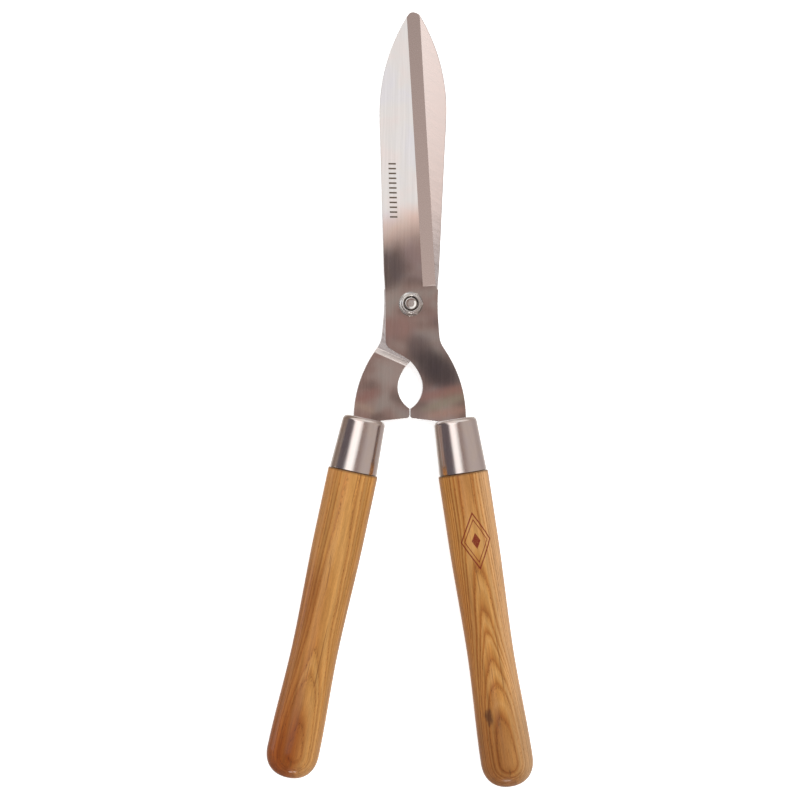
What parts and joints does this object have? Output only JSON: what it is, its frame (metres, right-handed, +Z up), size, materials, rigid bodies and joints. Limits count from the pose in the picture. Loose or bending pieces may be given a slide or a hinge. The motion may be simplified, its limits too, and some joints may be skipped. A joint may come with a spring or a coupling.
{
  "type": "hedge shears",
  "caption": "Hedge shears with straight pointed steel blades crossing on a bolt with a lock nut, and turned wooden handles held in tapered steel ferrules.",
  "frame": {"origin": "middle of the bolt head's outer face, on the pivot axis", "axes": "the shears lie flat and closed: +Y runs from the pivot to the blade tips, +X to the right handle, +Z up along the pivot bolt towards its lock nut"},
  "size_m": [0.166, 0.4811, 0.0328],
  "materials": {
    "blade_steel": "brushed and polished stainless steel with a coarser ground bevel",
    "ferrule_steel": "drawn steel with a satin polish",
    "plated_steel": "bright zinc plate",
    "nylon": "moulded nylon",
    "ash_wood": "turned ash under clear gloss lacquer"
  },
  "bodies": {
    "rear_half": {"rear_blade": "blade_steel", "left_ferrule": "ferrule_steel", "left_handle": "ash_wood", "pivot_bolt": "plated_steel", "pivot_washer": "plated_steel", "lock_nut": "plated_steel", "lock_nut_insert": "nylon"},
    "front_half": {"front_blade": "blade_steel", "right_ferrule": "ferrule_steel", "right_handle": "ash_wood"}
  },
  "joints": [
    {"name": "pivot", "type": "hinge", "parent": "rear_half", "child": "front_half", "pos_m": [0, 0, 0.01], "axis": [0, 0, 1], "range_deg": [0, 90]}
  ]
}
